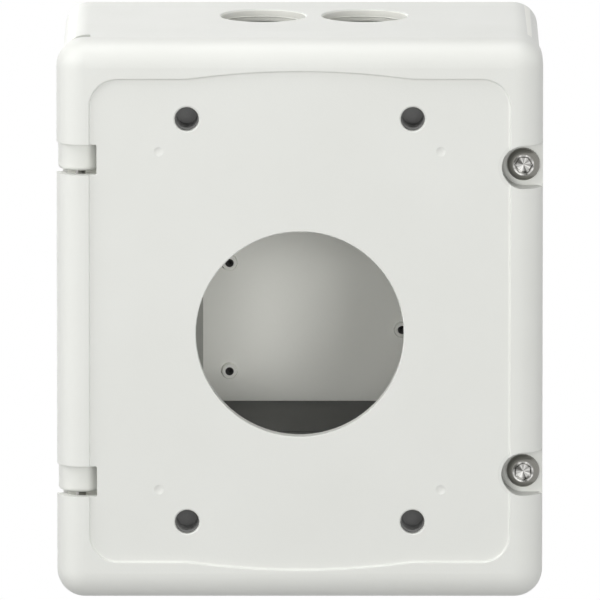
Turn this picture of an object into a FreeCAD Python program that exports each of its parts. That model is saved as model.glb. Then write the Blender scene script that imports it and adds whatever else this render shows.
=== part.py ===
"""Camera junction box: cast housing, hinged cast door, seal, hinge pins, captive screws and inner fittings.

Millimetres. The origin is the centre of the flat back face, +Z is up and the door faces -Y.
Depths are measured backwards from the front plane of the door.
"""
import FreeCAD, Part
import math
import os

Vector = FreeCAD.Vector

# Overall sizes
total_depth = 118.0
door_width = 200.0
door_height = 233.2
door_corner = 11.6
door_edge_round = 11.2
door_wall = 3.5
door_plate = 4.6
rim_depth = 26.0
hinge_rim_depth = 11.4
rim_start_from_left = 14.0
running_gap = 0.05
body_gap = 0.3
fit_gap = 0.8

# Recessed front panel
panel_depth = 1.2
panel_margin_side = 13.5
panel_margin_end = 15.9
panel_corner = 11.5
arch_from_side = 51.0
arch_rise = 3.3
arch_blend = 40.0
panel_edge_round = 0.45
panel_floor_round = 0.7

# Cable hole, its inner collar and the door's stiffening ribs
cable_hole_radius = 42.75
cable_hole_drop = 5.6
cable_hole_round = 0.4
collar_wall = 4.0
collar_depth = 7.2
rib_width = 3.0
rib_depth = 9.0

# Bracket fixing
bracket_from_side = 53.6
bracket_from_end = 32.6
bracket_hole_radius = 5.0
bracket_hole_chamfer = 0.5
bracket_bush_radius = 7.0
bracket_boss_wall = 2.5
bracket_bush_length = 16.0
bracket_bush_end = 2.0
dimple_from_side = 42.0
dimple_from_end = 46.1
dimple_radius = 2.0
dimple_depth = 0.5

# Hinge
hinge_from_end = 49.5
pin_from_side = 9.9
pin_depth = 16.5
pin_radius = 2.0
pin_head_radius = 3.4
pin_head_height = 1.2
knuckle_radius = 9.3
knuckle_drop = 5.6
knuckle_round = 1.6
notch_height = 12.6
notch_width = 16.5
notch_corner = 0.6
lug_radius = 5.4
lug_height = 8.0
lug_gap = 0.4
lower_lug_drop = 3.0
hinge_relief = 1.4

# Captive screws and their pockets
screw_from_end = 52.6
screw_from_side = 8.0
screw_head_radius = 6.75
screw_head_height = 4.2
screw_dome = 2.4
screw_tip = 1.0
screw_core_radius = 3.25
screw_engagement = 9.0
socket_flats = 6.0
socket_depth = 3.0
pocket_radius = 9.0
pocket_depth = 11.0
pocket_floor = 3.5
pocket_wall = 2.5
pocket_mouth_round = 1.6
shank_hole_radius = 4.3
ring_outer_radius = 5.6
ring_thickness = 1.2
ring_groove_depth = 0.5
ring_to_housing = 1.0
ring_room = 0.4
bush_bore_radius = 4.05
bush_outer_radius = 5.1
bush_length = 12.0
screw_boss_radius = 7.5
screw_boss_end = 3.2

# Seal
seal_from_side = 20.5
seal_from_end = 18.6
seal_room = 0.5
gasket_width = 4.0
gasket_height = 6.5
gasket_groove = 2.0
land_height = 3.6
land_wall = 2.0

# Housing
housing_inset_left = 2.4
housing_inset_right = 1.0
housing_inset_end = 1.6
housing_draft = 0.2
housing_corner = 10.0
housing_wall = 3.5
back_wall = 4.0
back_edge_round = 1.5
neck_wall = 3.0
neck_corner = 9.0

# Conduit entries
conduit_radius = 17.5
conduit_spacing = 42.0
conduit_middle_x = 5.9
conduit_from_back = 38.0
conduit_wall = 5.0
conduit_pad_margin = 4.0
conduit_chamfer = 0.6

# Back wall fixing holes and tapped bosses
wall_hole_from_foot = 7.0
wall_hole_from_end = 30.6
wall_hole_radius = 3.25
wall_boss_radius = 7.5
wall_boss_height = 3.0
board_hole_steps = [(11.0, 58.4), (11.0, 12.6), (82.9, 30.1)]
board_hole_radius = 1.75
board_hole_depth = 5.0
board_boss_radius = 3.6
board_boss_height = 2.0
board_boss_draft = 0.6

# Partition
partition_from_module_end = 9.7
partition_thickness = 7.0
partition_lean = 5.0
partition_tip = 2.0
partition_behind_module = 3.0
partition_from_top = 55.0

# Power module
module_width = 100.0
module_height = 42.0
module_from_bush = 12.4
module_from_bottom = 20.0
module_round = 1.5
module_foot_width = 11.0
module_foot_height = 16.0
module_foot_thickness = 4.0
module_foot_corner = 3.0
module_screw_radius = 2.0
module_pad_height = 1.0

# Terminal block
terminal_from_module = 61.0
terminal_width = 24.0
terminal_length = 66.0
terminal_height = 20.0
terminal_ways = 4
terminal_pitch = 11.0
terminal_barrier = 1.6
terminal_spine = 2.0
terminal_hole_from_end = 5.0
terminal_floor = 11.0
terminal_screw_radius = 1.7
terminal_clamp_radius = 2.8
terminal_clamp_height = 3.0
clamp_slot_width = 0.8
clamp_slot_depth = 0.9

# Earth stud
earth_from_module = 9.0
earth_radius = 3.0
earth_length = 22.0
earth_chamfer = 0.8
earth_boss_radius = 7.0
earth_boss_height = 3.0
earth_nut_flats = 10.0
earth_nut_height = 5.0
earth_washer_radius = 6.0
earth_washer_thickness = 1.6

# Small machine screws on the back wall
small_head_radius = 3.6
small_head_height = 2.6
small_engagement = 3.4
small_crown = 0.9
small_hole_room = 0.2
driver_slot_length = 3.8
driver_slot_width = 1.0
driver_slot_depth = 1.2

# Places worked out from the sizes above
front_y = -total_depth
half_width = door_width / 2
half_height = door_height / 2
panel_y = front_y + panel_depth
plate_back_y = front_y + door_plate
neck_half_width = half_width - seal_from_side
neck_half_height = half_height - seal_from_end
pin_x = -half_width + pin_from_side
pin_y = front_y + pin_depth
screw_x = half_width - screw_from_side
pocket_y = front_y + pocket_depth
pocket_back_y = pocket_y + pocket_floor
housing_front_y = front_y + rim_depth + fit_gap
flange_back_y = housing_front_y + housing_wall
land_back_y = plate_back_y + land_height
gasket_front_y = land_back_y - gasket_groove
gasket_back_y = gasket_front_y + gasket_height
neck_front_y = gasket_back_y + body_gap
inner_back_y = -back_wall
housing_left = -half_width + housing_inset_left
housing_right = half_width - housing_inset_right
housing_half_height = half_height - housing_inset_end
module_top = module_from_bottom + module_height - housing_half_height
module_back_y = inner_back_y - module_pad_height
module_front_y = plate_back_y + bracket_bush_length + module_from_bush
partition_x = partition_from_module_end - module_width / 2
partition_tip_y = module_front_y + partition_behind_module
board_holes = [(partition_x + step_x, module_top + step_z) for step_x, step_z in board_hole_steps]
wall_hole_x = module_width / 2 + module_foot_width + wall_hole_from_foot
wall_hole_z = half_height - wall_hole_from_end
screw_tip_y = housing_front_y + screw_engagement
ring_front_y = housing_front_y - ring_to_housing - ring_thickness
terminal_x = (housing_left + housing_wall + partition_x - partition_thickness) / 2
terminal_z = module_top + terminal_from_module
earth_x = terminal_x
earth_z = module_top + earth_from_module
terminal_hole_offset = terminal_length / 2 - terminal_hole_from_end
terminal_hole_heights = {"upper": terminal_z + terminal_hole_offset, "lower": terminal_z - terminal_hole_offset}
screw_heights = {"upper": half_height - screw_from_end, "lower": screw_from_end - half_height}
hinge_heights = {"upper": half_height - hinge_from_end, "lower": hinge_from_end - half_height}
bracket_x = half_width - bracket_from_side
bracket_z = half_height - bracket_from_end
bracket_places = {
    "upper_left": (-bracket_x, bracket_z), "upper_right": (bracket_x, bracket_z),
    "lower_left": (-bracket_x, -bracket_z), "lower_right": (bracket_x, -bracket_z),
}


def box(x0, x1, y0, y1, z0, z1):
    """Block between two corners."""
    return Part.makeBox(x1 - x0, y1 - y0, z1 - z0, Vector(x0, y0, z0))


def rod_y(x, z, radius, y0, y1):
    """Round bar along Y."""
    return Part.makeCylinder(radius, y1 - y0, Vector(x, y0, z), Vector(0, 1, 0))


def rod_z(x, y, radius, z0, z1):
    """Round bar along Z."""
    return Part.makeCylinder(radius, z1 - z0, Vector(x, y, z0), Vector(0, 0, 1))


def cone_y(x, z, radius0, radius1, y0, y1):
    """Tapered bar along Y."""
    return Part.makeCone(radius0, radius1, y1 - y0, Vector(x, y0, z), Vector(0, 1, 0))


def round_rectangle(x0, x1, z0, z1, radius, y):
    """Closed outline with four round corners in a plane of constant Y."""
    turn = radius * (1 - math.sqrt(0.5))
    points = [
        (x0 + radius, z0), (x1 - radius, z0), (x1 - turn, z0 + turn), (x1, z0 + radius),
        (x1, z1 - radius), (x1 - turn, z1 - turn), (x1 - radius, z1),
        (x0 + radius, z1), (x0 + turn, z1 - turn), (x0, z1 - radius),
        (x0, z0 + radius), (x0 + turn, z0 + turn),
    ]
    at = [Vector(x, y, z) for x, z in points]
    edges = []
    for side in range(4):
        start = 3 * side
        following = [at[(start + step) % len(at)] for step in range(4)]
        edges.append(Part.LineSegment(following[0], following[1]).toShape())
        edges.append(Part.Arc(following[1], following[2], following[3]).toShape())
    return Part.Wire(edges)


def round_block(x0, x1, z0, z1, radius, y0, y1):
    """Block with four round corners, its length along Y."""
    outline = round_rectangle(x0, x1, z0, z1, radius, y0)
    return Part.Face(outline).extrude(Vector(0, y1 - y0, 0))


def hexagon_block(x, z, flats, turn_deg, y0, y1):
    """Six-sided block along Y, given its size across the flats."""
    corner = flats / math.sqrt(3)
    points = []
    for side in range(7):
        angle = math.radians(60 * side + turn_deg)
        points.append(Vector(x + corner * math.cos(angle), y0, z + corner * math.sin(angle)))
    return Part.Face(Part.makePolygon(points)).extrude(Vector(0, y1 - y0, 0))


def edges_on(shape, test):
    """Edges whose every vertex passes a test."""
    return [edge for edge in shape.Edges if all(test(vertex.Point) for vertex in edge.Vertexes)]


def near(value, target):
    return abs(value - target) < 1e-4


def turned(profile, x, z):
    """Solid of revolution about an axis along Y; the profile holds (radius, y) points."""
    points = [Vector(x + radius, y, z) for radius, y in profile]
    face = Part.Face(Part.makePolygon(points + points[:1]))
    return face.revolve(Vector(x, 0, z), Vector(0, 1, 0), 360)


def panel_outline(y):
    """Outline of the recessed panel: straight sides, and ends that rise in a flat arch."""
    side = half_width - panel_margin_side
    end = half_height - panel_margin_end
    arch_half_width = half_width - arch_from_side
    turn = panel_corner * (1 - math.sqrt(0.5))
    sweep = 2 * math.atan(arch_rise / arch_half_width)
    crown = arch_half_width / math.sin(sweep) - arch_blend
    blend_x = arch_half_width - arch_blend * math.sin(sweep)
    blend_z = arch_blend * (1 - math.cos(sweep))
    blend_mid_x = arch_half_width - arch_blend * math.sin(sweep / 2)
    blend_mid_z = arch_blend * (1 - math.cos(sweep / 2))
    assert crown > 0

    def at(x, z):
        return Vector(x, y, z)

    edges = []
    for sign in (1, -1):
        edges.append(Part.Arc(at(sign * side, sign * (end - panel_corner)),
                              at(sign * (side - turn), sign * (end - turn)),
                              at(sign * (side - panel_corner), sign * end)).toShape())
        edges.append(Part.LineSegment(at(sign * (side - panel_corner), sign * end),
                                      at(sign * arch_half_width, sign * end)).toShape())
        edges.append(Part.Arc(at(sign * arch_half_width, sign * end),
                              at(sign * blend_mid_x, sign * (end + blend_mid_z)),
                              at(sign * blend_x, sign * (end + blend_z))).toShape())
        edges.append(Part.Arc(at(sign * blend_x, sign * (end + blend_z)),
                              at(0, sign * (end + arch_rise)),
                              at(-sign * blend_x, sign * (end + blend_z))).toShape())
        edges.append(Part.Arc(at(-sign * blend_x, sign * (end + blend_z)),
                              at(-sign * blend_mid_x, sign * (end + blend_mid_z)),
                              at(-sign * arch_half_width, sign * end)).toShape())
        edges.append(Part.LineSegment(at(-sign * arch_half_width, sign * end),
                                      at(-sign * (side - panel_corner), sign * end)).toShape())
        edges.append(Part.Arc(at(-sign * (side - panel_corner), sign * end),
                              at(-sign * (side - turn), sign * (end - turn)),
                              at(-sign * side, sign * (end - panel_corner))).toShape())
        edges.append(Part.LineSegment(at(-sign * side, sign * (end - panel_corner)),
                                      at(-sign * side, -sign * (end - panel_corner))).toShape())
    return Part.Wire(Part.__sortEdges__(edges))


def door_skin():
    """Door shell: rounded front edge all round, deep rim at top, right and bottom, short rim at the hinge."""
    rim_back_y = front_y + rim_depth
    outer = round_block(-half_width, half_width, -half_height, half_height, door_corner, front_y, rim_back_y)
    outer = outer.makeFillet(door_edge_round, edges_on(outer, lambda p: near(p.y, front_y)))
    inner_x = half_width - door_wall
    inner_z = half_height - door_wall
    inner = round_block(-inner_x, inner_x, -inner_z, inner_z, door_corner - door_wall, plate_back_y,
                        rim_back_y + 1)
    inner_round = door_edge_round - door_plate
    inner = inner.makeFillet(inner_round, edges_on(inner, lambda p: near(p.y, plate_back_y)))
    skin = outer.cut(inner)
    hinge_side = box(-half_width - 1, -half_width + rim_start_from_left, front_y + hinge_rim_depth,
                     rim_back_y + 1, -half_height - 1, half_height + 1)
    recess = Part.Face(panel_outline(front_y - 1)).extrude(Vector(0, panel_depth + 1, 0))
    recess = recess.makeFillet(panel_floor_round, edges_on(recess, lambda p: near(p.y, panel_y)))
    cable_hole = rod_y(0, -cable_hole_drop, cable_hole_radius, front_y, plate_back_y + 1)
    skin = skin.cut([hinge_side, recess, cable_hole])
    skin = skin.makeFillet(cable_hole_round, edges_on(skin, lambda p: near(p.y, panel_y) and near(
        math.hypot(p.x, p.z + cable_hole_drop), cable_hole_radius)))
    reach_x = half_width - panel_margin_side
    reach_z = half_height - panel_margin_end + arch_rise
    rim_of_recess = edges_on(skin, lambda p: near(p.y, front_y) and abs(p.x) < reach_x + panel_edge_round
                             and abs(p.z) < reach_z + panel_edge_round)
    return skin.makeFillet(panel_edge_round, rim_of_recess)


def screw_pocket(height, y_front, y_back, radius):
    """U-shaped pocket open to the right side of the door, its mouth rounded outwards."""
    reach = half_width + 1
    mouth_x = half_width - pocket_mouth_round
    pocket = rod_y(screw_x, height, radius, y_front, y_back)
    slot = box(screw_x, reach, y_front, y_back, height - radius, height + radius)
    wide = radius + pocket_mouth_round
    mouth = box(mouth_x, reach, y_front, y_back, height - wide, height + wide)
    corners = [rod_y(mouth_x, height + side * wide, pocket_mouth_round, y_front - 1, y_back + 1)
               for side in (-1, 1)]
    return pocket.fuse([slot, mouth.cut(corners)]).removeSplitter()


def front_door():
    door = door_skin()
    land_x = neck_half_width - neck_wall / 2 + gasket_width / 2
    land_z = neck_half_height - neck_wall / 2 + gasket_width / 2
    additions = []

    # Land for the seal, with its groove
    land = round_block(-land_x - land_wall, land_x + land_wall, -land_z - land_wall, land_z + land_wall,
                       neck_corner + land_wall, plate_back_y - 1, land_back_y)
    inside = round_block(-land_x + gasket_width + land_wall, land_x - gasket_width - land_wall,
                         -land_z + gasket_width + land_wall, land_z - gasket_width - land_wall,
                         neck_corner - land_wall, plate_back_y - 2, land_back_y + 1)
    additions.append(land.cut(inside))

    # Collar round the cable hole, bosses for the bracket bushes, ribs between them
    collar = rod_y(0, -cable_hole_drop, cable_hole_radius + collar_wall, plate_back_y - 1,
                   front_y + collar_depth)
    additions.append(collar)
    boss_back_y = plate_back_y + bracket_bush_length
    boss_radius = bracket_bush_radius + bracket_boss_wall
    for x, z in bracket_places.values():
        additions.append(rod_y(x, z, boss_radius, plate_back_y - 1, boss_back_y))
        additions.append(box(x - rib_width / 2, x + rib_width / 2, plate_back_y - 1, front_y + rib_depth,
                             min(z, 0), max(z, 0)))
        additions.append(box(min(x, 0), max(x, 0), plate_back_y - 1, front_y + rib_depth,
                             z - rib_width / 2, z + rib_width / 2))

    # Screw pockets: cup behind the front face, floor with the shank hole
    shell = round_block(-half_width, half_width, -half_height, half_height, door_corner, front_y,
                        pocket_back_y)
    shell = shell.makeFillet(door_edge_round, edges_on(shell, lambda p: near(p.y, front_y)))
    for height in screw_heights.values():
        cup = screw_pocket(height, plate_back_y - 1, pocket_back_y, pocket_radius + pocket_wall)
        additions.append(cup.common(shell))

    # Hinge lugs above and below each notch
    for height in hinge_heights.values():
        for low in (height + notch_height / 2, height - notch_height / 2 - lower_lug_drop - lug_height):
            additions.append(rod_z(pin_x, pin_y, lug_radius, low, low + lug_height))
            additions.append(box(pin_x - lug_radius, pin_x + lug_radius, plate_back_y - 1, pin_y,
                                 low, low + lug_height))
    door = door.fuse(additions).removeSplitter()

    cuts = []
    groove = round_block(-land_x, land_x, -land_z, land_z, neck_corner, gasket_front_y, land_back_y + 1)
    groove_core = round_block(-land_x + gasket_width, land_x - gasket_width, -land_z + gasket_width,
                              land_z - gasket_width, neck_corner - gasket_width, gasket_front_y - 1,
                              land_back_y + 2)
    cuts.append(groove.cut(groove_core))
    room = round_block(-land_x - seal_room, land_x + seal_room, -land_z - seal_room, land_z + seal_room,
                       neck_corner + seal_room, land_back_y, front_y + rim_depth)
    core = gasket_width + seal_room
    room_core = round_block(-land_x + core, land_x - core, -land_z + core, land_z - core,
                            neck_corner - core, land_back_y - 1, front_y + rim_depth + 1)
    cuts.append(room.cut(room_core))
    cuts.append(rod_y(0, -cable_hole_drop, cable_hole_radius, front_y - 1, front_y + rim_depth))
    for x, z in bracket_places.values():
        cuts.append(rod_y(x, z, bracket_hole_radius, front_y - 1, plate_back_y + 1))
        cuts.append(cone_y(x, z, bracket_hole_radius + 2 * bracket_hole_chamfer, bracket_hole_radius,
                           panel_y - bracket_hole_chamfer, panel_y + bracket_hole_chamfer))
        cuts.append(rod_y(x, z, bracket_bush_radius, plate_back_y, boss_back_y + 1))
    dimple_ball = (dimple_radius ** 2 + dimple_depth ** 2) / (2 * dimple_depth)
    for side in (-1, 1):
        for end in (-1, 1):
            centre = Vector(side * (half_width - dimple_from_side), panel_y + dimple_depth - dimple_ball,
                            end * (half_height - dimple_from_end))
            cuts.append(Part.makeSphere(dimple_ball, centre))
    for height in screw_heights.values():
        cuts.append(screw_pocket(height, front_y - 1, pocket_y, pocket_radius))
        cuts.append(rod_y(screw_x, height, shank_hole_radius, front_y, pocket_back_y + 1))
        cuts.append(rod_y(screw_x, height, ring_outer_radius + ring_room, pocket_back_y, front_y + rim_depth + 1))
    for height in hinge_heights.values():
        cuts.append(round_block(-half_width - 2 * notch_corner, -half_width + notch_width,
                                height - notch_height / 2, height + notch_height / 2,
                                notch_corner, front_y - 1, front_y + rim_depth))
        lug_reach = notch_height / 2 + lower_lug_drop + lug_height + pin_head_height
        cuts.append(rod_z(pin_x, pin_y, pin_radius, height - lug_reach, height + lug_reach))
    return door.cut(cuts)


def door_gasket():
    land_x = neck_half_width - neck_wall / 2 + gasket_width / 2
    land_z = neck_half_height - neck_wall / 2 + gasket_width / 2
    outer = round_block(-land_x, land_x, -land_z, land_z, neck_corner, gasket_front_y, gasket_back_y)
    inner = round_block(-land_x + gasket_width, land_x - gasket_width, -land_z + gasket_width,
                        land_z - gasket_width, neck_corner - gasket_width, gasket_front_y - 1,
                        gasket_back_y + 1)
    return outer.cut(inner)


def draft_at(y):
    """Inward step of the housing's sides at a depth: none at its front, the full draft at its back."""
    return housing_draft * (housing_front_y - y) / housing_front_y


def drafted_block(inset, y_back, y_front):
    """Tapered body of the housing, every side moved inwards by an inset."""
    outlines = []
    for y in (y_back, y_front):
        step = inset + draft_at(y)
        outlines.append(round_rectangle(housing_left + step, housing_right - step,
                                        -housing_half_height + step, housing_half_height - step,
                                        housing_corner - inset, y))
    return Part.makeLoft(outlines, True, True)


def housing_shell():
    """Hollow tapered body, closed at the back and by the front flange."""
    body = drafted_block(0, 0, housing_front_y)
    body = body.makeFillet(back_edge_round, edges_on(body, lambda p: near(p.y, 0)))
    return body.cut(drafted_block(housing_wall, inner_back_y, flange_back_y))


def front_space():
    """Space of the front flange."""
    return box(-half_width, half_width, housing_front_y, flange_back_y, -half_height, half_height)


def top_space():
    """Space above the inner face of the top wall."""
    points = []
    for y in (0, housing_front_y):
        points.append(Vector(-half_width, y, housing_half_height - housing_wall - draft_at(y)))
    points.append(Vector(-half_width, housing_front_y, half_height))
    points.append(Vector(-half_width, 0, half_height))
    return Part.Face(Part.makePolygon(points + points[:1])).extrude(Vector(door_width, 0, 0))


def bush_seat(height):
    return rod_y(screw_x, height, bush_outer_radius, housing_front_y, housing_front_y + bush_length)


def housing_top():
    """Top wall of the housing with its two conduit entries."""
    top = housing_shell().common(top_space()).cut(front_space())
    pads = []
    cuts = []
    for side in (-1, 1):
        x = conduit_middle_x + side * conduit_spacing / 2
        at = Vector(x, -conduit_from_back, 0)
        rim_z = housing_half_height - draft_at(-conduit_from_back)
        pad_z = housing_half_height - housing_draft - conduit_wall
        pads.append(rod_z(at.x, at.y, conduit_radius + conduit_pad_margin, pad_z,
                          housing_half_height - housing_wall))
        cuts.append(rod_z(at.x, at.y, conduit_radius, pad_z - 1, housing_half_height + 1))
        cuts.append(Part.makeCone(conduit_radius, conduit_radius + 2 * conduit_chamfer, 2 * conduit_chamfer,
                                  at + Vector(0, 0, rim_z - conduit_chamfer), Vector(0, 0, 1)))
    return top.fuse(pads).removeSplitter().cut(cuts)


def seal_frame():
    """Front flange of the housing with the neck for the seal and the hinge knuckles."""
    flange = housing_shell().common(front_space())
    flange = flange.cut(box(-half_width, -neck_half_width - neck_wall / 2, housing_front_y,
                            housing_front_y + hinge_relief, -half_height, half_height))
    additions = [round_block(-neck_half_width, neck_half_width, -neck_half_height, neck_half_height,
                             neck_corner, neck_front_y, flange_back_y)]
    cuts = [round_block(-neck_half_width + neck_wall, neck_half_width - neck_wall,
                        -neck_half_height + neck_wall, neck_half_height - neck_wall,
                        neck_corner - neck_wall, neck_front_y - 1, flange_back_y + 1)]
    for height in screw_heights.values():
        cuts.append(bush_seat(height))
    for height in hinge_heights.values():
        low = height - knuckle_drop
        high = height + notch_height / 2 - lug_gap
        knuckle = rod_z(pin_x, pin_y, knuckle_radius, low, high)
        additions.append(knuckle.makeFillet(knuckle_round, edges_on(knuckle, lambda p: near(p.z, low))))
        additions.append(box(housing_left, -neck_half_width + neck_wall / 2, pin_y, flange_back_y, low, high))
        cuts.append(rod_z(pin_x, pin_y, pin_radius + running_gap, low - 1, high + 1))
    return flange.fuse(additions).removeSplitter().cut(cuts)


def rear_housing():
    """Back wall and side walls of the housing with every boss and pad on them."""
    body = housing_shell().cut([front_space(), top_space()])
    additions = []
    cuts = []
    for side in (-1, 1):
        for end in (-1, 1):
            x = side * wall_hole_x
            z = end * wall_hole_z
            additions.append(rod_y(x, z, wall_boss_radius, inner_back_y - wall_boss_height, inner_back_y + 1))
            cuts.append(rod_y(x, z, wall_hole_radius, inner_back_y - wall_boss_height - 1, 1))
    for x, z in board_holes:
        face_y = inner_back_y - board_boss_height
        additions.append(cone_y(x, z, board_boss_radius - board_boss_draft, board_boss_radius, face_y,
                                inner_back_y + board_boss_draft))
        cuts.append(rod_y(x, z, board_hole_radius, face_y - 1, face_y + board_hole_depth))

    # Pads under the feet of the power module, boss of the earth stud, holes of the terminal block
    for side in (-1, 1):
        x = side * (module_width + module_foot_width) / 2
        z = module_top - module_height / 2
        additions.append(rod_y(x, z, small_head_radius + 1, module_back_y, inner_back_y + 1))
        cuts.append(rod_y(x, z, module_screw_radius, module_back_y - 1, module_back_y + small_engagement))
    additions.append(rod_y(earth_x, earth_z, earth_boss_radius, inner_back_y - earth_boss_height,
                           inner_back_y + 1))
    cuts.append(rod_y(earth_x, earth_z, earth_radius, inner_back_y - earth_boss_height - 1,
                      inner_back_y + back_wall / 2))
    for z in terminal_hole_heights.values():
        cuts.append(rod_y(terminal_x, z, terminal_screw_radius, inner_back_y - 1,
                          inner_back_y + small_engagement))

    # Blind bosses behind the front flange for the closing screws
    inside = drafted_block(housing_wall / 2, inner_back_y, housing_front_y)
    for height in screw_heights.values():
        boss = rod_y(screw_x, height, screw_boss_radius, flange_back_y,
                     housing_front_y + bush_length + screw_boss_end)
        additions.append(boss.common(inside))
        cuts.append(bush_seat(height))
    return body.fuse(additions).removeSplitter().cut(cuts)


def partition():
    """Wall between the mains side and the camera side, thinner towards the front."""
    tip_x = partition_x - partition_lean
    points = [(partition_x, inner_back_y), (partition_x - partition_thickness, inner_back_y),
              (tip_x - partition_tip / 2, partition_tip_y), (tip_x + partition_tip / 2, partition_tip_y)]
    corners = [Vector(x, y, module_top + body_gap) for x, y in points]
    wall = Part.Face(Part.makePolygon(corners + corners[:1]))
    top = housing_half_height - partition_from_top
    return wall.extrude(Vector(0, 0, top - module_top - body_gap))


def hinge_pin(height):
    low = height - notch_height / 2 - lower_lug_drop - lug_height
    high = height + notch_height / 2 + lug_height
    pin = rod_z(pin_x, pin_y, pin_radius, low, high)
    return pin.fuse(rod_z(pin_x, pin_y, pin_head_radius, high, high + pin_head_height)).removeSplitter()


def captive_screw(height, socket_turn):
    """Socket screw with a domed head, a groove for its ring and a pointed tip."""
    head_top = pocket_y - screw_head_height
    groove_radius = screw_core_radius - ring_groove_depth
    groove_front = ring_front_y - running_gap
    groove_back = ring_front_y + ring_thickness + running_gap
    turn = screw_dome * (1 - math.sqrt(0.5))
    profile = [(0, head_top), (screw_head_radius - screw_dome, head_top),
               (screw_head_radius - turn, head_top + turn),
               (screw_head_radius, head_top + screw_dome), (screw_head_radius, pocket_y),
               (screw_core_radius, pocket_y), (screw_core_radius, groove_front),
               (groove_radius, groove_front), (groove_radius, groove_back),
               (screw_core_radius, groove_back), (screw_core_radius, screw_tip_y - screw_tip),
               (screw_core_radius - screw_tip, screw_tip_y), (0, screw_tip_y)]
    screw = turned(profile, screw_x, height)
    socket = hexagon_block(screw_x, height, socket_flats, socket_turn, head_top - 1, head_top + socket_depth)
    drill = cone_y(screw_x, height, socket_flats / 2, 0.01, head_top + socket_depth,
                   head_top + socket_depth + socket_flats / 4)
    return screw.cut([socket, drill])


def retaining_ring(height):
    ring = rod_y(screw_x, height, ring_outer_radius, ring_front_y, ring_front_y + ring_thickness)
    bore = screw_core_radius - ring_groove_depth + running_gap
    return ring.cut(rod_y(screw_x, height, bore, ring_front_y - 1, ring_front_y + ring_thickness + 1))


def screw_bush(height):
    bush = rod_y(screw_x, height, bush_outer_radius, housing_front_y, housing_front_y + bush_length)
    return bush.cut(rod_y(screw_x, height, bush_bore_radius, housing_front_y - 1,
                          housing_front_y + bush_length + 1))


def bracket_bush(x, z):
    """Blind threaded bush behind the plate."""
    back_y = plate_back_y + bracket_bush_length
    bush = rod_y(x, z, bracket_bush_radius, plate_back_y, back_y)
    return bush.cut(rod_y(x, z, bracket_hole_radius, plate_back_y - 1, back_y - bracket_bush_end))


def power_module():
    """Potted block with a foot at each side."""
    back_y = module_back_y
    case = box(-module_width / 2, module_width / 2, module_front_y, back_y,
               module_top - module_height, module_top)
    case = case.makeFillet(module_round, edges_on(case, lambda p: near(p.y, module_front_y)))
    middle = module_top - module_height / 2
    feet_half = module_width / 2 + module_foot_width
    feet = round_block(-feet_half, feet_half, middle - module_foot_height / 2,
                       middle + module_foot_height / 2, module_foot_corner,
                       back_y - module_foot_thickness, back_y)
    case = case.fuse(feet).removeSplitter()
    holes = []
    for side in (-1, 1):
        x = side * (module_width + module_foot_width) / 2
        holes.append(rod_y(x, middle, module_screw_radius + small_hole_room,
                           back_y - module_foot_thickness - 1, back_y + 1))
    return case.cut(holes)


def small_screw(x, z, radius, seat_y, length):
    """Pan-head screw driven into the back wall."""
    slot_y = seat_y - small_head_height
    profile = [(0, slot_y), (small_head_radius - small_crown, slot_y), (small_head_radius, slot_y + small_crown),
               (small_head_radius, seat_y), (radius, seat_y), (radius, seat_y + length), (0, seat_y + length)]
    screw = turned(profile, x, z)
    long = driver_slot_length / 2
    short = driver_slot_width / 2
    slots = [box(x - long, x + long, slot_y - 1, slot_y + driver_slot_depth, z - short, z + short),
             box(x - short, x + short, slot_y - 1, slot_y + driver_slot_depth, z - long, z + long)]
    return screw.cut(slots)


def terminal_block():
    """Barrier block: a base with open clamp bays between upright barriers."""
    base = box(terminal_x - terminal_width / 2, terminal_x + terminal_width / 2,
               inner_back_y - terminal_height, inner_back_y,
               terminal_z - terminal_length / 2, terminal_z + terminal_length / 2)
    cuts = []
    for way in range(terminal_ways):
        middle = terminal_z + (way - (terminal_ways - 1) / 2) * terminal_pitch
        half = (terminal_pitch - terminal_barrier) / 2
        for side in (-1, 1):
            inner = terminal_x + side * terminal_spine / 2
            outer = terminal_x + side * (terminal_width / 2 + 1)
            cuts.append(box(min(inner, outer), max(inner, outer), inner_back_y - terminal_height - 1,
                            inner_back_y - terminal_floor, middle - half, middle + half))
    ear_z = terminal_ways * terminal_pitch / 2 + terminal_barrier / 2
    for end in (-1, 1):
        low = terminal_z + end * ear_z
        high = terminal_z + end * (terminal_length / 2 + 1)
        cuts.append(box(terminal_x - terminal_width, terminal_x + terminal_width,
                        inner_back_y - terminal_height - 1, inner_back_y - module_foot_thickness,
                        min(low, high), max(low, high)))
    for z in terminal_hole_heights.values():
        cuts.append(rod_y(terminal_x, z, terminal_screw_radius + small_hole_room,
                          inner_back_y - terminal_height, inner_back_y + 1))
    return base.cut(cuts)


def terminal_clamps():
    """Clamp screws in the bays of the terminal block, one pair a way."""
    clamps = []
    for way in range(terminal_ways):
        middle = terminal_z + (way - (terminal_ways - 1) / 2) * terminal_pitch
        for side in (-1, 1):
            x = terminal_x + side * (terminal_width + terminal_spine) / 4
            seat = inner_back_y - terminal_floor
            clamp = rod_y(x, middle, terminal_clamp_radius, seat - terminal_clamp_height, seat)
            slot = box(x - terminal_clamp_radius, x + terminal_clamp_radius,
                       seat - terminal_clamp_height - 1, seat - terminal_clamp_height + clamp_slot_depth,
                       middle - clamp_slot_width / 2, middle + clamp_slot_width / 2)
            clamps.append(clamp.cut(slot))
    return Part.makeCompound(clamps)


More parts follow.
